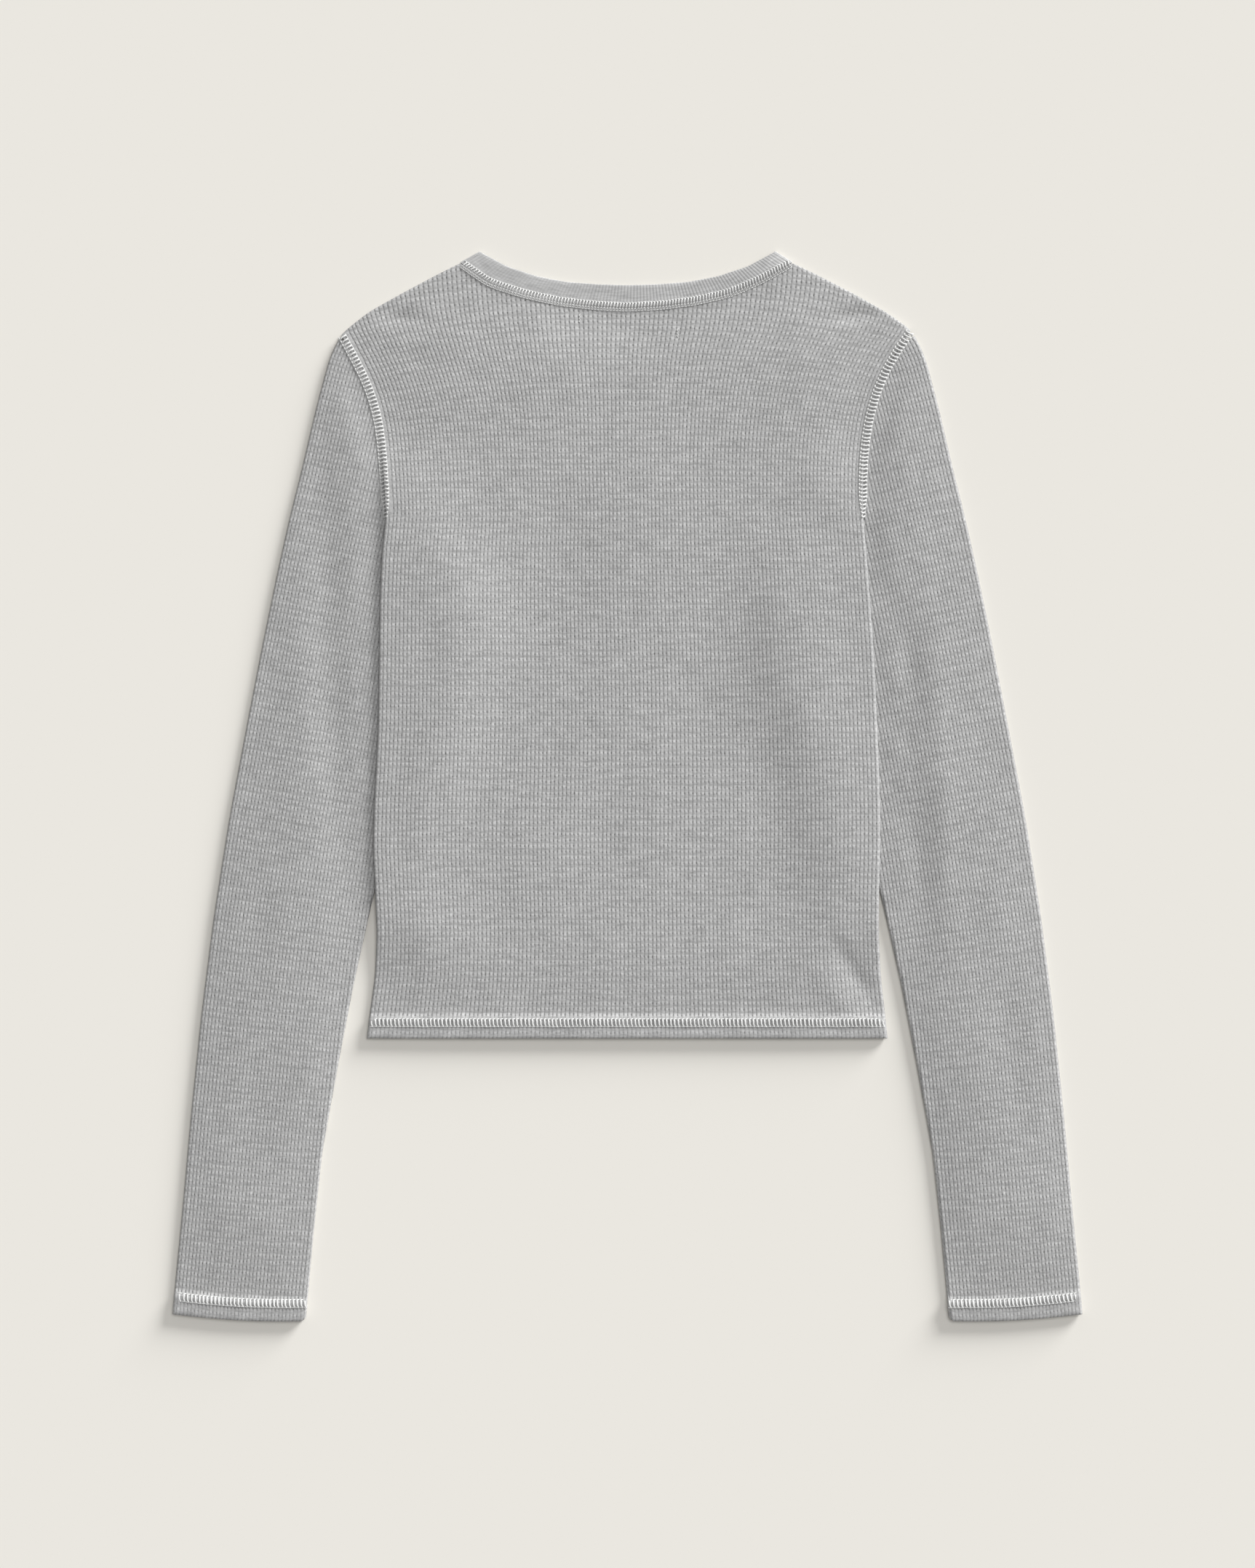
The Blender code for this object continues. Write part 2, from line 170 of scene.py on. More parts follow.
def matt_finish(nodes, shader, colour, height, strength, distance, roughness, sheen, gloss):
    """A soft, matt surface: colour, a bump from a height, and a little sheen."""
    bump = nodes.add("ShaderNodeBump", {"Height": height, "Strength": strength,
                                        "Distance": distance})
    nodes.tree.links.new(colour, shader.inputs["Base Color"])
    nodes.tree.links.new(bump.outputs["Normal"], shader.inputs["Normal"])
    shader.inputs["Roughness"].default_value = roughness
    shader.inputs["Sheen Weight"].default_value = sheen
    shader.inputs["Sheen Roughness"].default_value = 0.5
    shader.inputs["Specular IOR Level"].default_value = gloss


def waffle_material(name, tone=1.0):
    """Grey marl waffle knit, a little lighter or darker by its tone; the sleeves' lower tones are
    painted shade.
    """
    material = bpy.data.materials.new(name)
    material.use_nodes = True
    nodes = Nodes(material.node_tree)
    shader = material.node_tree.nodes["Principled BSDF"]
    grain = nodes.add("ShaderNodeAttribute", attribute_name="grain").outputs["Vector"]
    cells = nodes.add("ShaderNodeGroup", {}, node_tree=waffle_cells)
    fibres = nodes.add("ShaderNodeGroup", {}, node_tree=marl_fibres)
    nodes.tree.links.new(grain, cells.inputs["Grain"])
    nodes.tree.links.new(grain, fibres.inputs["Grain"])
    fibres.inputs["Color"].default_value = (*[part * tone for part in MARL], 1.0)
    fibres.inputs["Contrast"].default_value = 0.15
    colour = nodes.add("ShaderNodeVectorMath", {0: fibres.outputs["Color"]}, operation="SCALE")
    nodes.tree.links.new(cells.outputs["Painted Shade"], colour.inputs["Scale"])
    matt_finish(nodes, shader, colour.outputs[0], cells.outputs["Height"], 0.55, 0.0004,
                CLOTH_ROUGHNESS, CLOTH_SHEEN, CLOTH_GLOSS)
    return material


# ----------------------------------------------------------------------------------------------
# Back and front panel
# Two cuts of waffle knit that lie on each other, the back uppermost. They fold into each other
# at the side and shoulder seams, are turned up once at the hem, and ride over the inner edges of
# the sleeves. The back has the shallower neckline.
# ----------------------------------------------------------------------------------------------
WALES = 124                 # ribs of the knit across the body, from hem to shoulder
COURSE = 0.00364            # one row of cells
COURSES = 135
CLOTH = 0.0015              # thickness of the knit
TURNED = 0.0026             # thickness of the pressed hem
HEM_DEPTH = 0.0146          # height of the turned-up hem
HEM_STEP = 0.0022           # run over which it thins to one layer
INSET = 0.0026              # how far in from its edges a solid has its full height
FOLD_RADIUS = 0.0019        # how tightly the side and shoulder seams fold
SEAM_GAP = 0.00005          # air between two pieces that are sewn edge to edge
SQUEEZE = 0.0025            # run over which the rows crowd together towards a cut edge
RELIEF = {"groove": 0.00022, "pit": 0.00016, "ladder": 0.00006}
EDGE_STEPS = np.array([0.0, 0.00025, 0.0008])   # extra lines that round a folded edge
BAND = 0.0053               # width of a stitched seam band
LEAN_REACH = 0.025          # above the shoulder tips the ribs straighten up over this run
SHARP = 1.1                 # in radians: a fold that turns more than this keeps a crisp edge
DROOP, DROOP_REACH = 0.0076, 0.130      # courses sink this far, this far from the centre line

trees = {name: BVHTree.FromObject(node, bpy.context.evaluated_depsgraph_get())
         for name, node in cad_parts.items()}


def smooth(value):
    """Ease from 0 to 1 as the value goes from 0 to 1."""
    value = np.clip(value, 0.0, 1.0)
    return value * value * (3.0 - 2.0 * value)


def rounding(distance, radius):
    """Rise of a quarter circle, from 0 at the edge to 1 a radius in from it."""
    return np.sqrt(1.0 - (1.0 - np.clip(distance / radius, 0.0, 1.0)) ** 2)


def soften(values, passes, axis=0):
    """Even out kinks along an axis; both ends stay."""
    values = np.moveaxis(np.array(values, float), axis, 0)
    for _ in range(passes):
        values[1:-1] += 0.25 * (values[:-2] - 2.0 * values[1:-1] + values[2:])
    return np.moveaxis(values, 0, axis)


def squeeze(value, limit):
    """A place that stays short of a limit, crowding towards it over the last stretch."""
    start = limit - SQUEEZE
    near = limit - SQUEEZE * np.exp(-np.maximum(value - start, 0.0) / SQUEEZE)
    near = np.where(limit - near < 0.00003, limit, near)
    return np.where(value < start, value, near)


def corners_of(node):
    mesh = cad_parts[node].data
    corners = np.empty(len(mesh.vertices) * 3)
    mesh.vertices.foreach_get("co", corners)
    return corners.reshape(-1, 3)


def reach(node, axis, stations):
    """Least and greatest X (axis 0) or Y (axis 1) of a solid at stations on the other axis."""
    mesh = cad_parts[node].data
    ends = np.empty(len(mesh.edges) * 2, int)
    mesh.edges.foreach_get("vertices", ends)
    start, end = corners_of(node)[ends.reshape(-1, 2)].swapaxes(0, 1)
    run = end - start
    with np.errstate(divide="ignore", invalid="ignore"):
        share = (np.asarray(stations)[:, None] - start[:, 1 - axis]) / run[:, 1 - axis]
    crossing = np.where((share >= 0.0) & (share <= 1.0), start[:, axis] + share * run[:, axis],
                        np.nan)
    return np.nanmin(crossing, axis=1), np.nanmax(crossing, axis=1)


def height(node, x, y, above=True):
    """Height of a solid's upper face, or of its underside, at each place."""
    start, way = (0.1, -1.0) if above else (-0.1, 1.0)
    found = []
    for place in zip(np.ravel(x), np.ravel(y)):
        hit = trees[node].ray_cast(Vector((*place, start)), Vector((0.0, 0.0, way)))[0]
        hit = hit or trees[node].find_nearest(Vector((*place, 0.1 if above else -0.1)))[0]
        found.append(hit.z)
    return np.reshape(found, np.shape(x))


def relief(wale, course):
    """How far the knit lies below its highest points: least on a float, most in a pit."""
    groove = 0.5 + 0.5 * np.cos(2.0 * math.pi * wale)
    row = 0.5 + 0.5 * np.cos(2.0 * math.pi * course)
    return (RELIEF["groove"] * groove + RELIEF["pit"] * groove * row
            + RELIEF["ladder"] * (1.0 - groove) * (1.0 - row))


def crease(x, y, start, end, width, depth):
    """Depth of a soft trough (or of a ridge, if negative) that fades out at both its ends."""
    start, end = np.array(start), np.array(end)
    way = end - start
    along = ((x - start[0]) * way[0] + (y - start[1]) * way[1]) / (way @ way)
    away = np.hypot(x - start[0] - along * way[0], y - start[1] - along * way[1])
    faded = smooth(2.2 * np.clip(along, 0.0, 1.0)) * smooth(2.2 * (1.0 - np.clip(along, 0.0, 1.0)))
    return depth * np.exp(-(away / width) ** 2) * faded


def smooth_mesh(bm, name):
    mesh = bpy.data.meshes.new(name)
    bm.to_mesh(mesh)
    bm.free()
    mesh.shade_smooth()
    return mesh


def new_piece(name, mesh, material):
    """A piece that rides on the top's one body."""
    mesh.materials.append(material)
    piece = bpy.data.objects.new(name, mesh)
    bpy.context.scene.collection.objects.link(piece)
    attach(piece, "root")
    return piece


def cloth_shell(name, outside, inside, grain, material):
    """A closed shell: the knitted outside, its inside left plain, and a rim where they meet."""
    rows, columns = outside.shape[:2]
    bm = bmesh.new()
    bmesh.ops.create_grid(bm, x_segments=columns - 1, y_segments=rows - 1, size=1.0)
    grain_layer = bm.verts.layers.float_vector.new("grain")
    inside_layer = bm.verts.layers.float_vector.new("inside")
    for vert, place, back, cell in zip(bm.verts, outside.reshape(-1, 3), inside.reshape(-1, 3),
                                       grain.reshape(-1, 3)):
        vert.co = place
        vert[inside_layer] = back
        vert[grain_layer] = cell
    bmesh.ops.remove_doubles(bm, verts=bm.verts, dist=0.00002)
    bmesh.ops.dissolve_degenerate(bm, edges=bm.edges, dist=0.000005)
    rim = [edge for edge in bm.edges if edge.is_boundary]
    lining = bmesh.ops.duplicate(bm, geom=bm.verts[:] + bm.edges[:] + bm.faces[:])
    twins = lining["vert_map"]
    verts = [part for part in lining["geom"] if isinstance(part, bmesh.types.BMVert)]
    faces = [part for part in lining["geom"] if isinstance(part, bmesh.types.BMFace)]
    for vert in verts:
        vert.co = vert[inside_layer]
    bmesh.ops.reverse_faces(bm, faces=faces)
    verts = [vert for vert in verts if not vert.is_boundary]
    edges = [part for part in lining["geom"] if isinstance(part, bmesh.types.BMEdge)
             and not part.is_boundary]
    for first, second in [edge.verts for edge in rim]:
        bm.faces.new((first, second, twins[second], twins[first]))
    bmesh.ops.dissolve_limit(bm, angle_limit=math.radians(1.0), verts=verts, edges=edges)
    bmesh.ops.triangulate(bm, faces=[face for face in bm.faces if len(face.verts) > 4],
                          ngon_method="EAR_CLIP")
    bmesh.ops.recalc_face_normals(bm, faces=bm.faces)
    bm.verts.layers.float_vector.remove(bm.verts.layers.float_vector["inside"])
    mesh = smooth_mesh(bm, name)
    mesh.set_sharp_from_angle(angle=SHARP)
    return new_piece(name, mesh, material)


def body_outline(node):
    """The panel's hem, shoulder tips and underarm, and its edges as functions."""
    corners = corners_of(node)
    hem = corners[:, 1].min()
    tips = [corners[np.argmin(corners[:, 0])], corners[np.argmax(corners[:, 0])]]
    up = np.linspace(hem + 0.0001, min(tips[0][1], tips[1][1]) - 0.0001, 400)
    left, right = (soften(edge, 20) for edge in reach(node, 0, up))
    underarm = up[np.argmin(np.where(up > 0.1, right - left, 1.0))]
    over = np.linspace(tips[0][0] + 0.0001, tips[1][0] - 0.0001, 500)
    top = reach(node, 1, over)[1]
    ends = [int(np.argmax(np.where(over < 0.0, top, 0.0))),
            int(np.argmax(np.where(over > 0.0, top, 0.0)))]
    spans = zip([0, *ends], [*ends, len(over) - 1])
    for first, last in spans:
        top[first:last + 1] = soften(top[first:last + 1], 40)
    past = np.linspace(0.001, 0.06, 30)     # above the tips the ribs go on leaning, less and less
    fade = LEAN_REACH * (1.0 - np.exp(-past / LEAN_REACH))
    left, right = (np.concatenate([edge, edge[-1] + (edge[-1] - edge[-16]) / (up[-1] - up[-16])
                                   * fade]) for edge in (left, right))
    up = np.concatenate([up, up[-1] + past])
    return {"hem": hem, "tip": min(tips[0][1], tips[1][1]), "tips": tips, "underarm": underarm,
            "left": lambda y: np.interp(y, up, left), "right": lambda y: np.interp(y, up, right),
            "top": lambda x: np.interp(x, over, top), "neck": (over[ends[0]], over[ends[1]])}


outlines = {node: body_outline(node) for node in ("back_panel", "front_panel")}


def fold_height(y):
    """Height of the side and shoulder seams, half-way between the outsides of both panels."""
    stations = np.linspace(outlines["back_panel"]["hem"] + 0.017, 0.27, 80)
    edge = outlines["back_panel"]["right"](stations) - 2.5 * INSET
    middle = 0.5 * (height("back_panel", edge, stations)
                    + height("front_panel", edge, stations, above=False))
    turned = (TURNED - CLOTH) * hem_step(y - outlines["back_panel"]["hem"])
    return np.interp(y, stations, soften(middle, 10)) + turned


def hem_step(distance):
    """1 within the turned-up hem and 0 beyond it."""
    return 1.0 - smooth((distance - HEM_DEPTH + HEM_STEP) / HEM_STEP)


def body_panel(name, node, outward, creases, material):
    """A panel's shell, on a grid with a line on every groove and on every rib of the knit."""
    cut = outlines[node]
    lines = np.arange(1, 2 * WALES) / (2 * WALES)
    width = cut["right"](0.0) - cut["left"](0.0)
    steps = EDGE_STEPS / width
    over = np.concatenate([steps, lines, 1.0 - steps[::-1]])
    up = np.concatenate([EDGE_STEPS, np.arange(1, 2 * COURSES) * 0.5 * COURSE])
    s, rise = np.meshgrid(over, up)
    row = cut["hem"] + rise
    y = row
    for _ in range(4):
        x = cut["left"](y) * (1.0 - s) + cut["right"](y) * s
        x = np.clip(x, cut["tips"][0][0], cut["tips"][1][0])
        sink = smooth((row - cut["underarm"]) / (cut["tip"] - cut["underarm"]))
        y = squeeze(row - DROOP * sink * np.abs(x / DROOP_REACH) ** 3, cut["top"](x))

    from_side = np.minimum(x - cut["left"](y), cut["right"](y) - x)
    from_top = cut["top"](x) - y
    from_hem = y - cut["hem"]
    held_in = np.clip(x, cut["left"](y) + INSET, cut["right"](y) - INSET)
    held_up = np.clip(y, cut["hem"] + HEM_DEPTH + 0.002, cut["top"](x) - INSET)
    face = height(node, held_in, held_up, above=outward > 0)
    face = soften(soften(face, 50, axis=0), 50, axis=1)
    for fold in creases:
        face = face - outward * crease(x, y, *fold)
    turned = (TURNED - CLOTH) * hem_step(from_hem)
    if outward > 0:
        face = face + 2.0 * turned
    back = face - outward * (CLOTH + turned)

    grain = np.stack([s * WALES, rise / COURSE, np.zeros(s.shape)], axis=-1)
    beside_arm = np.where(y > cut["underarm"] - 0.004, from_side, 1.0)
    beside_neck = np.where((x > cut["neck"][0]) & (x < cut["neck"][1]), from_top, 1.0)
    pressed = 1.0 - smooth((beside_arm - 0.55 * BAND) / 0.0025)
    pressed = np.maximum(pressed, 1.0 - smooth((beside_neck - 0.42 * BAND) / 0.0015))
    pressed = np.maximum(pressed, 0.35 * hem_step(from_hem))
    grain[..., 2] = pressed
    at_edge = smooth(np.minimum(from_side, np.minimum(from_top, from_hem)) / SQUEEZE)
    face = face - outward * relief(grain[..., 0], grain[..., 1]) * (1.0 - pressed) * at_edge

    seam = fold_height(y)
    side_fold = np.where(y < cut["underarm"], rounding(from_side, FOLD_RADIUS), 1.0)
    on_shoulder = (x < cut["neck"][0]) | (x > cut["neck"][1])
    top_fold = np.where(on_shoulder & (y > cut["tip"] - 0.01), rounding(from_top, FOLD_RADIUS), 1.0)
    fold = np.minimum(side_fold, top_fold)
    hem_fold = np.maximum(rounding(from_hem, 0.5 * TURNED), 0.15)
    middle = 0.5 * (face + back)
    face, back = middle + (face - middle) * hem_fold, middle + (back - middle) * hem_fold
    seam = seam + outward * 0.5 * SEAM_GAP
    face, back = seam + (face - seam) * fold, seam + (back - seam) * fold

    centre = 0.5 * (cut["left"](y) + cut["right"](y))
    pull = 0.0005 * (1.0 - fold)
    outside = np.stack([x, y, face], axis=-1)
    inside = np.stack([x - np.sign(x - centre) * pull, y - pull * (top_fold < 1.0), back], axis=-1)
    return cloth_shell(name, outside, inside, grain, material)


# Creases: start, end, width and depth; the last two are the puckers of the label's tacks
BACK_CREASES = [
    ((0.120, -0.083), (0.163, -0.150), 0.006, 0.0011),
    ((0.112, -0.106), (0.150, -0.157), 0.007, -0.0008),
    ((-0.165, 0.296), (-0.118, 0.290), 0.005, 0.0009),
    ((0.118, 0.291), (0.166, 0.297), 0.005, 0.0009),
    ((-0.150, 0.270), (-0.105, 0.262), 0.007, 0.0006),
    ((-0.100, -0.020), (-0.060, -0.120), 0.018, 0.0004),
    ((0.020, 0.120), (0.070, -0.010), 0.022, 0.0003),
    ((-0.060, 0.210), (-0.020, 0.080), 0.020, 0.0003),
    ((-0.0300, 0.301), (-0.0296, 0.280), 0.0018, 0.0004),
    ((0.0322, 0.295), (0.0318, 0.273), 0.0018, 0.0004),
]
FRONT_CREASES = [
    ((-0.110, 0.150), (-0.060, -0.020), 0.014, 0.0004),
    ((0.040, 0.180), (0.085, 0.030), 0.012, 0.0003),
    ((-0.020, -0.020), (0.030, -0.130), 0.016, 0.0004),
]

back_knit = waffle_material("back_waffle_knit", 0.99)
back = body_panel("back", "back_panel", 1.0, BACK_CREASES, back_knit)
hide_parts("back_panel")

front_knit = waffle_material("front_waffle_knit", 0.98)
front = body_panel("front", "front_panel", -1.0, FRONT_CREASES, front_knit)
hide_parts("front_panel")


# ----------------------------------------------------------------------------------------------
# Sleeves
# Each is one cut of waffle knit, folded along its outer edge and sewn into a tube, with the
# cuff turned up once. The ribs of the knit run along the fold. A soft valley follows the armhole
# seam, and the inner edge is tucked under the side of the body.
# ----------------------------------------------------------------------------------------------
SLEEVE_WALE = 0.00228
SLEEVE_COURSE = 0.00378
SLEEVE_WIDEST = 0.112
PROBE_STEP = 0.0005         # the inner edge is looked for in steps of this, in from the fold
UNDERARM_RELEASE = 0.004    # below the underarm the inner edge becomes a fold over this run
SOFT_STOP = 0.0005
SEAM_SLANT = 0.86           # how squarely the ribs of a sleeve meet its armhole
CUFF_TURN = 0.190           # run over which the courses swing round to the line of the cuff


def sleeve_shell(name, node, sign, creases, material):
    """A flattened tube on a grid that runs from its inner edge round the outer fold and back."""
    corners = corners_of(node)
    out = corners[:, 0] * sign
    cuff_corner = corners[np.argmax(out)]
    shoulder_tip = outlines["back_panel"]["tips"][1 if sign > 0 else 0]
    tip = shoulder_tip[1]

    down = np.linspace(tip - 0.0002, cuff_corner[1] + 0.0001, 400)
    edges = [sign * edge for edge in reach(node, 0, down)]
    fold_x = soften(np.maximum(*edges), 60)
    fold_x[0] = sign * shoulder_tip[0]
    low = np.linspace(corners[:, 1].min() + 0.0003, tip - 0.0003, 500)
    inner_x = np.minimum(*[sign * edge for edge in reach(node, 0, low)])
    limits = {}
    for layer, panel in (("top", "back_panel"), ("under", "front_panel")):
        cut = outlines[panel]
        seam = sign * cut["right" if sign > 0 else "left"](low) + SEAM_GAP
        limits[layer] = np.where(low > cut["underarm"], seam, soften(inner_x, 12))
    run = np.concatenate([[0.0], np.cumsum(np.hypot(np.diff(fold_x), np.diff(down)))])
    length = run[-1]

    wide = np.arange(1, int(2 * SLEEVE_WIDEST / SLEEVE_WALE)) * 0.5 * SLEEVE_WALE
    wide = np.concatenate([EDGE_STEPS, wide])
    up = np.arange(1, int(2 * length / SLEEVE_COURSE)) * 0.5 * SLEEVE_COURSE
    up = np.concatenate([EDGE_STEPS, up])
    along = length - up[up < length - 0.0001]
    place = np.stack([np.interp(along, run, fold_x), np.interp(along, run, down)], axis=-1)
    way = np.stack([np.interp(along, run, np.gradient(fold_x, run)),
                    np.interp(along, run, np.gradient(down, run))], axis=-1)
    way /= np.linalg.norm(way, axis=1)[:, None]
    inward = np.stack([way[:, 1], -way[:, 0]], axis=-1)

    probe = np.arange(0.0, SLEEVE_WIDEST + 0.018, PROBE_STEP)
    ends = place[0] + probe[:, None] * inward[0]
    cuff_y = reach(node, 1, sign * np.clip(ends[:, 0], out[corners[:, 1] < -0.3].min() + 0.0002,
                                           out.max() - 0.0002))[0]
    swing = soften((cuff_y - ends[:, 1]) / way[0][1], 20)
    ramp = smooth(1.0 - (length - along) / CUFF_TURN)

    def at(w):
        """Places at distances w in from the fold, a row of them for each course."""
        shift = np.interp(w, probe, swing) * ramp[:, None]
        return (place[:, None] + w[..., None] * inward[:, None] + shift[..., None] * way[:, None])

    tried = at(np.broadcast_to(probe, (len(along), len(probe))))
    sheets = {}
    for layer, limit in limits.items():
        inner = np.interp(tried[..., 1], low, limit)
        over = tried[..., 0] - inner
        gone = np.maximum(np.argmax(over < 0.0, axis=1), 1)
        rows = np.arange(len(along))
        before, after = over[rows, gone - 1], over[rows, gone]
        share = np.clip(before / np.maximum(before - after, 1e-9), 0.0, 1.0)
        widest = np.maximum(probe[gone - 1] + share * PROBE_STEP, 0.0)
        widest = soften(widest, 6)
        w = squeeze(np.broadcast_to(wide, (len(along), len(wide))), widest[:, None])
        w = np.where(w < 0.0, 0.0, w)
        sheets[layer] = w, widest, at(w)

    stack = {}
    for layer, (w, widest, _) in sheets.items():
        inset_w = np.clip(w, np.minimum(INSET, 0.5 * widest[:, None]),
                          np.maximum(widest[:, None] - 1.6 * INSET, 0.5 * widest[:, None]))
        looked = at(inset_w)
        rows_in = np.searchsorted(-along, -(length - HEM_DEPTH - 0.002))
        looked[:rows_in] = looked[rows_in]
        face = height(node, sign * looked[..., 0], looked[..., 1],
                      above=layer == "top")
        stack[layer] = soften(soften(face, 16, axis=0), 16, axis=1)

    turned = (TURNED - CLOTH) * hem_step(length - along)[:, None]
    middle = 0.5 * (stack["top"] + stack["under"]) + turned
    shells = {}
    for layer, (w, widest, plan) in sheets.items():
        outward = 1.0 if layer == "top" else -1.0
        x, y = plan[..., 0], plan[..., 1]
        face = stack[layer] + (2.0 * turned if outward > 0 else 0.0)
        for fold in creases[layer]:
            face = face - outward * crease(x, y, *fold)
        if outward > 0:     # a crease stops short of the layer underneath
            lift = face - 2.0 * CLOTH
            face = 2.0 * CLOTH + 0.5 * (lift + np.hypot(lift, SOFT_STOP))
        back = face - outward * (CLOTH + turned)
        cut = outlines["back_panel" if outward > 0 else "front_panel"]
        free = smooth((cut["underarm"] - y) / UNDERARM_RELEASE)
        from_inner = widest[:, None] - w
        from_cuff = np.broadcast_to((length - along)[:, None], w.shape)
        grain = np.stack([w / SLEEVE_WALE, from_cuff / SLEEVE_COURSE, 0.0 * w], axis=-1)
        beside_arm = np.where(y > cut["underarm"] - 0.002, SEAM_SLANT * from_inner, 1.0)
        pressed = 1.0 - smooth((beside_arm - 0.45 * BAND) / 0.0015)
        pressed = np.maximum(pressed, 0.35 * hem_step(from_cuff))
        grain[..., 2] = pressed
        at_edge = smooth(np.minimum(w, from_inner) / SQUEEZE)
        face = face - outward * relief(grain[..., 0], grain[..., 1]) * (1.0 - pressed) * at_edge
        cuff_fold = np.maximum(rounding(from_cuff, 0.5 * TURNED), 0.15)
        mid = 0.5 * (face + back)
        face, back = mid + (face - mid) * cuff_fold, mid + (back - mid) * cuff_fold
        fold = rounding(w, FOLD_RADIUS) * (1.0 - free * (1.0 - rounding(from_inner, FOLD_RADIUS)))
        face = middle + (face - middle) * fold
        back_fold = rounding(np.maximum(w - CLOTH, 0.0), FOLD_RADIUS)
        back_fold = back_fold * (1.0 - free * (1.0 - rounding(
            np.maximum(from_inner - CLOTH, 0.0), FOLD_RADIUS)))
        back = middle + (back - middle) * back_fold
        inner_w = w + CLOTH * np.exp(-w / CLOTH) - CLOTH * free * np.exp(-from_inner / CLOTH)
        inner_plan = at(np.clip(inner_w, 0.0, None))
        shells[layer] = (np.stack([sign * x, y, face], axis=-1),
                         np.stack([sign * inner_plan[..., 0], inner_plan[..., 1], back], axis=-1),
                         grain)
    joined = [np.concatenate([top[:, ::-1], under[:, 1:]], axis=1)
              for top, under in zip(shells["top"], shells["under"])]
    return cloth_shell(name, *joined, material)


# Creases of both layers of each sleeve: start, end, width and depth, with X counted outwards
LEFT_CREASES = {
    "top": [((0.192, 0.262), (0.179, -0.115), 0.013, 0.0021),
            ((0.215, 0.120), (0.236, -0.060), 0.016, 0.0006),
            ((0.222, -0.120), (0.240, -0.270), 0.014, 0.0007),
            ((0.187, -0.090), (0.204, -0.230), 0.010, -0.0006)],
    "under": [((0.200, 0.100), (0.225, -0.080), 0.014, 0.0004),
              ((0.235, -0.090), (0.245, -0.240), 0.012, 0.0003)],
}
RIGHT_CREASES = {
    "top": [((0.172, 0.150), (0.180, 0.000), 0.009, 0.0012),
            ((0.177, 0.050), (0.186, -0.140), 0.010, 0.0013),
            ((0.192, 0.130), (0.201, -0.120), 0.008, -0.0006),
            ((0.224, -0.060), (0.252, -0.260), 0.014, 0.0008),
            ((0.215, 0.080), (0.228, -0.030), 0.015, 0.0005)],
    "under": [((0.195, 0.110), (0.222, -0.050), 0.014, 0.0004),
              ((0.228, -0.110), (0.240, -0.260), 0.012, 0.0003)],
}

# Both sleeves get a lower tone than the body: painted shade that darkens each sleeve as a whole
left_knit = waffle_material("left_sleeve_waffle_knit", 0.955)
left_sleeve = sleeve_shell("left_arm", "left_sleeve", -1.0, LEFT_CREASES, left_knit)
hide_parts("left_sleeve")

right_knit = waffle_material("right_sleeve_waffle_knit", 0.965)
right_sleeve = sleeve_shell("right_arm", "right_sleeve", 1.0, RIGHT_CREASES, right_knit)
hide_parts("right_sleeve")


# ----------------------------------------------------------------------------------------------
# Neckband
# A strip of fine rib in the same marl, folded double along its free edge and sewn on as a ring.
# It lies flat: the back half on top, turned over at both neck points to the front half below.
# ----------------------------------------------------------------------------------------------
NECK_RIB = 0.0011           # from one rib to the next
RIB_THICKNESS = 0.0017
BAND_DEPTH = 0.0140
RIB_RELIEF = 0.00010
TURN_STEPS = 7


def along_line(line, fractions):
    """Points at fractions of a line's length."""
    run = np.concatenate([[0.0], np.cumsum(np.linalg.norm(np.diff(line, axis=0), axis=1))])
    return np.stack([np.interp(np.asarray(fractions) * run[-1], run, line[:, k])
                     for k in range(line.shape[1])], axis=-1)


def length_of(line):
    return np.linalg.norm(np.diff(line, axis=0), axis=1).sum()


def neck_seam(node):
    """The neck seam of a panel, from the left neck point to the right one."""
    cut = outlines[node]
    over = np.linspace(*cut["neck"], 300)
    return np.stack([over, cut["top"](over) + SEAM_GAP], axis=-1)


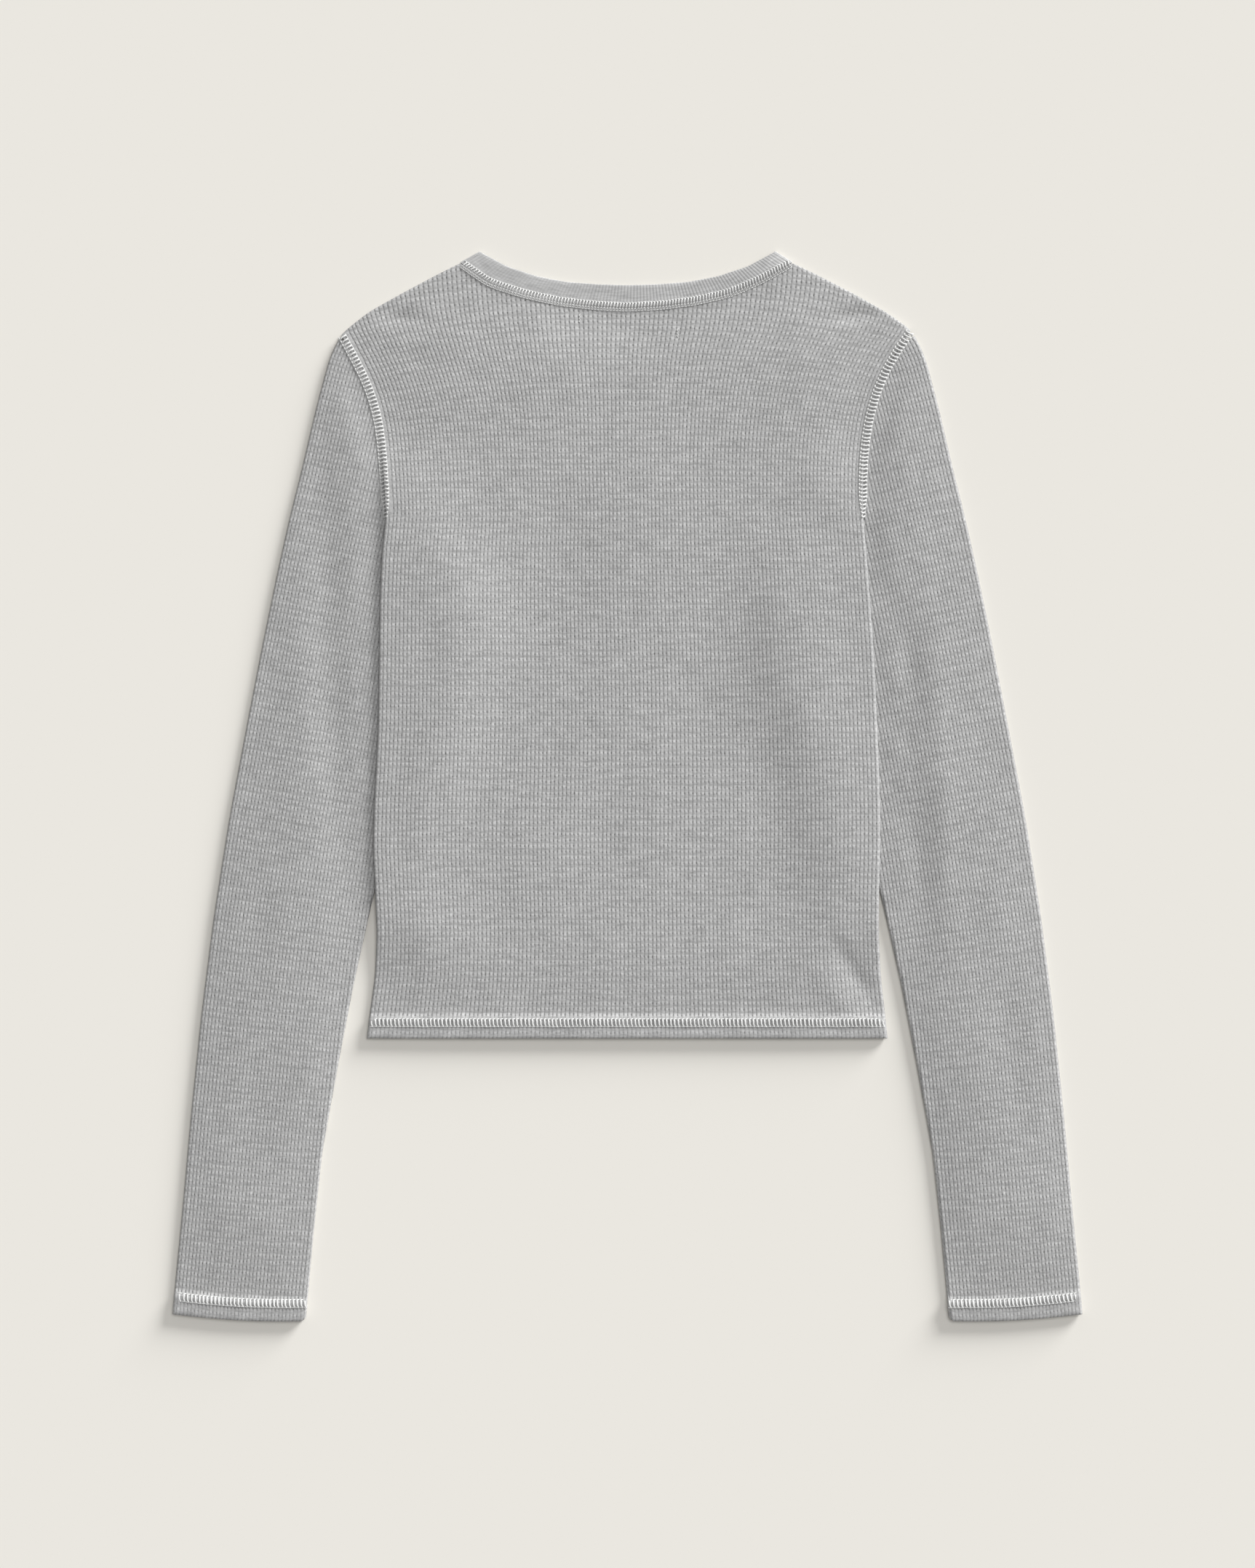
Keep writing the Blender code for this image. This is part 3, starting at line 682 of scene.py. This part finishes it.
def neckband_shell(name, material):
    seams = [neck_seam("back_panel"), neck_seam("front_panel")[::-1]]
    over = np.linspace(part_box("neckband")[0].x + 0.0002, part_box("neckband")[1].x - 0.0002, 600)
    crest = reach("neckband", 1, over)[1]
    first = int(np.argmax(np.where(over < 0.0, crest, 0.0)))
    last = int(np.argmax(np.where(over > 0.0, crest, 0.0)))
    back_edge = np.stack([over[first:last + 1], soften(crest[first:last + 1], 40)], axis=-1)
    starts = [back_edge[0] - seams[0][0], back_edge[-1] - seams[0][-1]]
    share = np.linspace(0.0, 1.0, len(seams[1]))[:, None]
    way = np.gradient(seams[1], axis=0)
    way /= np.linalg.norm(way, axis=1)[:, None]
    straight = np.stack([way[:, 1], -way[:, 0]], axis=-1) * BAND_DEPTH
    near = np.exp(-share / 0.12), np.exp(-(1.0 - share) / 0.12)
    hold = np.clip(1.0 - near[0] - near[1], 0.0, 1.0)
    front_edge = seams[1] + near[0] * starts[1] + near[1] * starts[0] + hold * straight

    half = 0.5 * RIB_THICKNESS
    levels = []
    for k, (seam, edge) in enumerate(zip(seams, [back_edge, front_edge])):
        count = 2 * int(length_of(seam) / NECK_RIB / 2) + 1
        share = np.linspace(0.0045, 0.9955, count) if k == 0 else np.linspace(0.004, 0.996, count)
        at_seam, at_edge = along_line(seam, share), along_line(edge, share)
        if k == 0:
            looks = [at_seam + (at_edge - at_seam) * part for part in (0.3, 0.7)]
            heights = [soften(height("neckband", look[:, 0], look[:, 1]), 60) - half
                       for look in looks]
        else:
            heights = [np.full(count, half)] * 2
        levels.append((np.column_stack([at_seam, heights[0]]),
                       np.column_stack([at_edge, heights[1]])))
    ring = []
    for k, (at_seam, at_edge) in enumerate(levels):
        up = np.tile([0.0, 0.0, 1.0 if k == 0 else -1.0], (len(at_seam), 1))
        ring.append((at_seam, at_edge, up))
        after = levels[1 - k]
        ends = [0.5 * (at_seam[-1] + after[0][0]), 0.5 * (at_edge[-1] + after[1][0])]
        rise = 0.25 * ((at_seam[-1, 2] - after[0][0, 2]) + (at_edge[-1, 2] - after[1][0, 2]))
        across = (ends[1] - ends[0]) / np.linalg.norm((ends[1] - ends[0])[:2])
        outward = np.array([across[1], -across[0], 0.0])
        outward *= np.sign(outward[0] * (1.0 if k == 0 else -1.0))
        angle = np.linspace(0.5 * math.pi, -0.5 * math.pi, TURN_STEPS + 2)[1:-1, None]
        facing = (outward * np.cos(angle) + np.array([0.0, 0.0, 1.0]) * np.sin(angle)
                  * (1.0 if k == 0 else -1.0))
        ring.append((ends[0] + abs(rise) * facing, ends[1] + abs(rise) * facing, facing))
    at_seam, at_edge, facing = (np.concatenate(parts) for parts in zip(*ring))
    at_seam, at_edge, facing = (np.vstack([part, part[:1]]) for part in (at_seam, at_edge, facing))

    turn = np.linspace(0.0, math.pi, 6)
    across = np.concatenate([np.linspace(0.0, 1.0, 9)[:-1] * (BAND_DEPTH - half),
                             BAND_DEPTH - half + half * np.sin(turn),
                             np.linspace(1.0, 0.0, 5)[1:] * (BAND_DEPTH - half), [0.0]])
    out = np.concatenate([np.full(8, half), half * np.cos(turn), np.full(4, -half), [half]])
    share = across / BAND_DEPTH
    rib = np.arange(len(at_seam))
    lowered = RIB_RELIEF * (rib % 2)[:, None] * (out > 0.0) * (share > 0.15)
    place = (at_seam[:, None] + (at_edge - at_seam)[:, None] * share[None, :, None]
             + facing[:, None] * (out - lowered)[..., None])

    bm = bmesh.new()
    bmesh.ops.create_grid(bm, x_segments=len(across) - 1, y_segments=len(at_seam) - 1, size=1.0)
    layer = bm.verts.layers.float_vector.new("grain")
    for k, (vert, spot) in enumerate(zip(bm.verts, place.reshape(-1, 3))):
        vert.co = spot
        vert[layer] = (0.5 * (k // len(across)), across[k % len(across)] / COURSE, 0.0)
    bmesh.ops.remove_doubles(bm, verts=bm.verts, dist=0.00002)
    bmesh.ops.recalc_face_normals(bm, faces=bm.faces)
    mesh = smooth_mesh(bm, name)
    mesh.set_sharp_from_angle(angle=SHARP)
    return new_piece(name, mesh, material)


def rib_material(name):
    """The same marl in a fine rib: narrow, shallow grooves across the band, darkened with painted
    shade.
    """
    material = bpy.data.materials.new(name)
    material.use_nodes = True
    nodes = Nodes(material.node_tree)
    shader = material.node_tree.nodes["Principled BSDF"]
    grain = nodes.add("ShaderNodeAttribute", attribute_name="grain").outputs["Vector"]
    turned = nodes.add("ShaderNodeSeparateXYZ", {"Vector": grain}).outputs
    streaks = nodes.add("ShaderNodeCombineXYZ", {"X": nodes.math("MULTIPLY", turned["X"], 0.35),
                                                 "Y": turned["Y"]}).outputs[0]
    fibres = nodes.add("ShaderNodeGroup", {}, node_tree=marl_fibres)
    nodes.tree.links.new(streaks, fibres.inputs["Grain"])
    fibres.inputs["Color"].default_value = (*[part * 1.08 for part in MARL], 1.0)
    fibres.inputs["Contrast"].default_value = 0.13
    groove = nodes.peak(turned["X"], 3.0, 0.5)
    # Painted shade in the grooves of the rib, multiplied into the colour
    shade = nodes.math("MULTIPLY_ADD", groove, -0.10, 1.03)
    colour = nodes.add("ShaderNodeVectorMath", {0: fibres.outputs["Color"]}, operation="SCALE")
    nodes.tree.links.new(shade, colour.inputs["Scale"])
    matt_finish(nodes, shader, colour.outputs[0], nodes.math("SUBTRACT", 1.0, groove), 0.5,
                0.0002, CLOTH_ROUGHNESS, CLOTH_SHEEN, CLOTH_GLOSS)
    return material


neckband = neckband_shell("neck_ring", rib_material("neck_rib_marl"))
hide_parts("neckband")


# ----------------------------------------------------------------------------------------------
# Flatlock seams
# Off-white thread covers every seam and both edges of the turnings: two rails of needle stitches
# with a looping cover thread laid from rail to rail. Round the neck the loops are set closer and
# lean over, and a finer zigzag ties them down.
# ----------------------------------------------------------------------------------------------
THREAD = (0.65, 0.65, 0.64)
STITCH = 0.00246            # one stitch along a seam, hem or cuff
NECK_STITCH = 0.00193
THREAD_ROUGHNESS, THREAD_SHEEN, THREAD_GLOSS = 0.75, 0.1, 0.25
HEM_SEAM, CUFF_SEAM = 0.0099, 0.0112    # height of the band's middle above the cloth's edge
TAPER = 0.016               # an armhole's band narrows over this length towards the underarm
CUFF_LEAN = math.radians(5.0)           # how far the lower sleeve slants outwards
PRESSED = 0.4               # share of the threads' height that stands out on the underside


def stitched_mesh(bm, name):
    bmesh.ops.recalc_face_normals(bm, faces=bm.faces)
    return smooth_mesh(bm, name)


def thread(bm, route, wide, thick):
    """A flattened thread along its route: a rod, cut into lengths and bent."""
    route = np.array(route, float)
    rod = bmesh.new()
    bmesh.ops.create_cone(rod, cap_ends=True, segments=6, radius1=0.5, radius2=0.5, depth=1.0)
    sides = [edge for edge in rod.edges if abs(edge.verts[0].co.z - edge.verts[1].co.z) > 0.5]
    bmesh.ops.subdivide_edges(rod, edges=sides, cuts=len(route) - 2)
    stops = np.linspace(-0.5, 0.5, len(route))
    for vert in rod.verts:
        spot, ahead, behind = (np.array([np.interp(vert.co.z + off, stops, route[:, k])
                                         for k in range(3)]) for off in (0.0, 0.2, -0.2))
        way = (ahead - behind)[:2] / np.linalg.norm((ahead - behind)[:2])
        spot[:2] += np.array([-way[1], way[0]]) * vert.co.x * wide
        spot[2] += vert.co.y * thick
        vert.co = spot
    mesh = bpy.data.meshes.new("thread")
    rod.to_mesh(mesh)
    rod.free()
    bm.from_mesh(mesh)
    bpy.data.meshes.remove(mesh)


def ladder_unit():
    """One stitch of a seam: two rails and a loop that hooks over at its outer end."""
    bm = bmesh.new()
    p = STITCH
    thread(bm, [(0.02 * p, -0.00236, 0.0002), (0.5 * p, -0.00240, 0.0003),
                (0.98 * p, -0.00236, 0.0002)], 0.00090, 0.00045)
    thread(bm, [(0.02 * p, 0.00232, 0.0002), (0.5 * p, 0.00236, 0.0003),
                (0.98 * p, 0.00232, 0.0002)], 0.00090, 0.00045)
    thread(bm, [(0.80 * p, -0.00215, 0.0002), (0.58 * p, -0.00165, 0.0004),
                (0.46 * p, -0.0007, 0.0005), (0.44 * p, 0.0007, 0.0005),
                (0.40 * p, 0.0022, 0.0003)], 0.00128, 0.00055)
    return stitched_mesh(bm, "ladder_stitch")


def leaf_unit():
    """One stitch of the neck seam: a leaning loop above and a finer zigzag below."""
    bm = bmesh.new()
    p = NECK_STITCH
    thread(bm, [(0.02 * p, 0.00255, 0.0002), (0.5 * p, 0.00260, 0.0003),
                (0.98 * p, 0.00255, 0.0002)], 0.00068, 0.00045)
    thread(bm, [(0.02 * p, -0.00252, 0.0002), (0.5 * p, -0.00256, 0.0003),
                (0.98 * p, -0.00252, 0.0002)], 0.00075, 0.00045)
    thread(bm, [(0.92 * p, 0.0025, 0.0003), (0.66 * p, 0.0014, 0.0005),
                (0.50 * p, 0.0003, 0.0005), (0.46 * p, -0.0006, 0.0003)], 0.00095, 0.00055)
    thread(bm, [(0.46 * p, -0.0004, 0.0003), (0.26 * p, -0.0014, 0.0004),
                (0.10 * p, -0.0024, 0.0003)], 0.00042, 0.00042)
    thread(bm, [(0.46 * p, -0.0004, 0.0003), (0.66 * p, -0.0014, 0.0004),
                (0.82 * p, -0.0024, 0.0003)], 0.00042, 0.00042)
    return stitched_mesh(bm, "leaf_stitch")


def thread_material(name, colour_of_thread):
    """Bulky thread, with a fine twist and a few greyer stitches."""
    material = bpy.data.materials.new(name)
    material.use_nodes = True
    nodes = Nodes(material.node_tree)
    shader = material.node_tree.nodes["Principled BSDF"]
    place = nodes.add("ShaderNodeTexCoord").outputs["Object"]
    fuzz = nodes.noise(place, 2200.0, 2.0)
    soil = nodes.noise(place, 160.0, 1.0)
    tone = nodes.math("ADD", nodes.spread(fuzz, 0.90, 1.05), nodes.spread(soil, -0.05, 0.05))
    colour = nodes.add("ShaderNodeVectorMath", {0: colour_of_thread}, operation="SCALE")
    nodes.tree.links.new(tone, colour.inputs["Scale"])
    matt_finish(nodes, shader, colour.outputs[0], fuzz, 0.4, 0.0002, THREAD_ROUGHNESS,
                THREAD_SHEEN, THREAD_GLOSS)
    return material


shells = [back, front, left_sleeve, right_sleeve, neckband]
bpy.context.view_layer.update()
shell_trees = [BVHTree.FromObject(shell, bpy.context.evaluated_depsgraph_get())
               for shell in shells]


def cloth_top(x, y, above):
    """Height of the finished cloth, seen from above or from below."""
    start, way = (0.1, -1.0) if above else (-0.1, 1.0)
    found = []
    for place in zip(x, y):
        hits = [tree.ray_cast(Vector((*place, start)), Vector((0.0, 0.0, way)))[0]
                for tree in shell_trees]
        levels = [hit.z for hit in hits if hit] or [np.nan]
        found.append(max(levels) if above else min(levels))
    found = np.array(found)
    known = ~np.isnan(found)
    return np.interp(np.arange(len(found)), np.flatnonzero(known), found[known])


def seam_band(bands, unit, pitch, seed):
    """Rows of stitches along lines over the cloth, as one mesh; each line has its side."""
    random = np.random.default_rng(seed)
    parts = []
    for line, above, *tapered in bands:
        count = int(round(length_of(line) / pitch))
        strip = bpy.data.objects.new("strip", unit)
        bpy.context.scene.collection.objects.link(strip)
        array = strip.modifiers.new("stitches", "ARRAY")
        array.count = count
        array.use_relative_offset = False
        array.use_constant_offset = True
        array.constant_offset_displace = (pitch, 0.0, 0.0)
        array.use_merge_vertices = False
        bpy.context.view_layer.update()
        mesh = bpy.data.meshes.new_from_object(
            strip.evaluated_get(bpy.context.evaluated_depsgraph_get()))
        bpy.data.objects.remove(strip)
        flat = np.empty(len(mesh.vertices) * 3)
        mesh.vertices.foreach_get("co", flat)
        flat = flat.reshape(-1, 3)
        which = np.clip((flat[:, 0] / pitch).astype(int), 0, count - 1)
        loose = np.abs(flat[:, 1]) < 0.0023
        flat[:, 0] += np.where(loose, random.normal(0.0, 0.05 * pitch, count)[which], 0.0)
        flat[:, 1] += random.normal(0.0, 0.00005, count)[which]
        flat[:, 0] = np.clip(flat[:, 0], 0.0, count * pitch) * length_of(line) / (count * pitch)

        for end in tapered:
            left_over = np.abs(flat[:, 0] - end * length_of(line)) / TAPER
            flat[:, 1] *= 0.45 + 0.55 * smooth(left_over)
        stations = np.linspace(0.0, 1.0, count + 1)
        middle = along_line(line, stations)
        way = np.gradient(middle, axis=0)
        way /= np.linalg.norm(way, axis=1)[:, None]
        left = np.stack([-way[:, 1], way[:, 0]], axis=-1) * (1.0 if above else -1.0)
        offsets = np.array([-0.0024, -0.0008, 0.0008, 0.0024])
        levels = np.stack([soften(cloth_top(*(middle + off * left).T, above), 4)
                           for off in offsets], axis=-1)
        at = flat[:, 0] / length_of(line) * count
        spot = np.stack([np.interp(at, np.arange(count + 1), middle[:, k]) for k in (0, 1)], -1)
        side = np.stack([np.interp(at, np.arange(count + 1), left[:, k]) for k in (0, 1)], -1)
        spot += side * flat[:, 1:2]
        level_at = np.stack([np.interp(at, np.arange(count + 1), levels[:, k])
                             for k in range(len(offsets))], axis=-1)
        nearer = np.clip((flat[:, 1] - offsets[0]) / (offsets[1] - offsets[0]), 0.0, 2.999)
        low = nearer.astype(int)
        rows = np.arange(len(flat))
        level = (level_at[rows, low] * (1.0 - nearer + low)
                 + level_at[rows, low + 1] * (nearer - low))
        level += flat[:, 2] * (1.0 if above else -PRESSED)
        mesh.vertices.foreach_set("co", np.column_stack([spot, level]).ravel())
        parts.append(mesh)
    bm = bmesh.new()
    for mesh in parts:
        bm.from_mesh(mesh)
    return bm


def stitch_piece(name, bands, unit, pitch, seed):
    joined = stitched_mesh(seam_band(bands, unit, pitch, seed), name)
    new_piece(name, joined, seam_thread)


def armhole_line(node, side):
    cut = outlines[node]
    tip = cut["tips"][1 if side == "right" else 0][1]
    up = np.linspace(tip - 0.0006, cut["underarm"] - 0.006, 80)
    return np.stack([cut[side](up), up], axis=-1)


def cuff_line(node, sign):
    """A line across a cuff, parallel to its edge."""
    corners = corners_of(node)
    out = corners[:, 0] * sign
    outer, inner = out.max(), out[corners[:, 1] < -0.333].min()
    over = np.linspace(outer - 0.0002, inner + 0.0002, 60)
    edge = reach(node, 1, sign * over)[0]
    lean = CUFF_SEAM * math.tan(CUFF_LEAN)
    return np.stack([sign * (over - lean), soften(edge, 8) + CUFF_SEAM], axis=-1)


seam_thread = thread_material("seam_thread", THREAD)
ladder, leaf = ladder_unit(), leaf_unit()
arm_bands, hem_bands, cuff_bands, neck_bands = [], [], [], []
for node, above in (("back_panel", True), ("front_panel", False)):
    cut = outlines[node]
    arm_bands += [(armhole_line(node, "left"), above, 1.0),
                  (armhole_line(node, "right")[::-1], above, 0.0)]
    hem_up = cut["hem"] + HEM_SEAM
    over = np.linspace(cut["left"](hem_up) + 0.0006, cut["right"](hem_up) - 0.0006, 60)
    hem_bands.append((np.stack([over, np.full(60, hem_up)], axis=-1), above))
    neck_bands.append((along_line(neck_seam(node), np.linspace(0.008, 0.992, 120)), above))
    cuff_bands += [(cuff_line("left_sleeve", -1.0), above),
                   (cuff_line("right_sleeve", 1.0)[::-1], above)]
stitch_piece("armhole_stitches", arm_bands, ladder, STITCH, 11)
stitch_piece("hem_stitches", hem_bands, ladder, STITCH, 12)
stitch_piece("cuff_stitches", cuff_bands, ladder, STITCH, 13)
stitch_piece("neck_stitches", neck_bands, leaf, NECK_STITCH, 14)


# ----------------------------------------------------------------------------------------------
# Label tacks
# A label inside the back of the neck is tacked down at its two ends. Outside, each tack shows as
# a short wiggle of pale grey thread in a small pucker.
# ----------------------------------------------------------------------------------------------
TACKS = [(-0.0300, 0.2925), (0.0312, 0.2832)]
TACK_LENGTH, TACK_SWAY = 0.0055, 0.00045
TACK_THREAD = (0.62, 0.62, 0.61)

tacks_bm = bmesh.new()
for x, y in TACKS:
    rise = np.linspace(-0.5, 0.5, 7) * TACK_LENGTH
    over = x + TACK_SWAY * np.cos(math.pi * np.arange(7))
    level = cloth_top(over, y + rise, True) + 0.0002
    thread(tacks_bm, np.stack([over, y + rise, level], axis=-1), 0.00055, 0.0005)
tacks = new_piece("label_tacks", stitched_mesh(tacks_bm, "label_tacks"),
                  thread_material("tack_thread", TACK_THREAD))


# ----------------------------------------------------------------------------------------------
# Floor, light and camera
# ----------------------------------------------------------------------------------------------
FLOOR_COLOUR = (0.823, 0.799, 0.745, 1.0)
FLOOR_SIZE = 3.0
PICTURE_HEIGHT = 0.981      # of the floor, from the top to the foot of the picture
PICTURE_MIDDLE = 0.0014
CAMERA_HEIGHT = 3.0
SENSOR = 36.0
SKY = 0.29                  # share of the floor's light that comes from all round
SOFTBOXES = {               # share of the light, height, bearing and spread in degrees
    "overhead": (0.31, 74.0, 40.0, 30.0),
    "key": (0.40, 16.0, 42.0, 26.0),
}

floor_bm = bmesh.new()
bmesh.ops.create_grid(floor_bm, x_segments=1, y_segments=1, size=FLOOR_SIZE)
floor_mesh = bpy.data.meshes.new("floor")
floor_bm.to_mesh(floor_mesh)
floor_bm.free()
floor = bpy.data.objects.new("floor", floor_mesh)
bpy.context.scene.collection.objects.link(floor)
paper = bpy.data.materials.new("pale_paper")
paper.use_nodes = True
paper_shader = paper.node_tree.nodes["Principled BSDF"]
paper_shader.inputs["Base Color"].default_value = FLOOR_COLOUR
paper_shader.inputs["Roughness"].default_value = 1.0
paper_shader.inputs["Specular IOR Level"].default_value = 0.0
floor_mesh.materials.append(paper)

world = bpy.data.worlds.new("studio")
world.use_nodes = True
world.node_tree.nodes["Background"].inputs["Color"].default_value = (1.0, 1.0, 1.0, 1.0)
world.node_tree.nodes["Background"].inputs["Strength"].default_value = SKY
bpy.context.scene.world = world

for name, (share, above, bearing, spread) in SOFTBOXES.items():
    light = bpy.data.lights.new(name, "SUN")
    light.energy = share * math.pi / math.sin(math.radians(above))
    light.angle = math.radians(spread)
    softbox = bpy.data.objects.new(name, light)
    softbox.rotation_euler = (math.radians(90.0 - above), 0.0, math.radians(180.0 - bearing))
    bpy.context.scene.collection.objects.link(softbox)

lens = bpy.data.cameras.new("camera")
lens.sensor_fit = "VERTICAL"
lens.sensor_height = SENSOR
lens.lens = SENSOR * CAMERA_HEIGHT / PICTURE_HEIGHT
camera = bpy.data.objects.new("camera", lens)
camera.location = (0.0, PICTURE_MIDDLE, CAMERA_HEIGHT)
bpy.context.scene.collection.objects.link(camera)
bpy.context.scene.camera = camera
bpy.context.scene.view_settings.view_transform = "Standard"
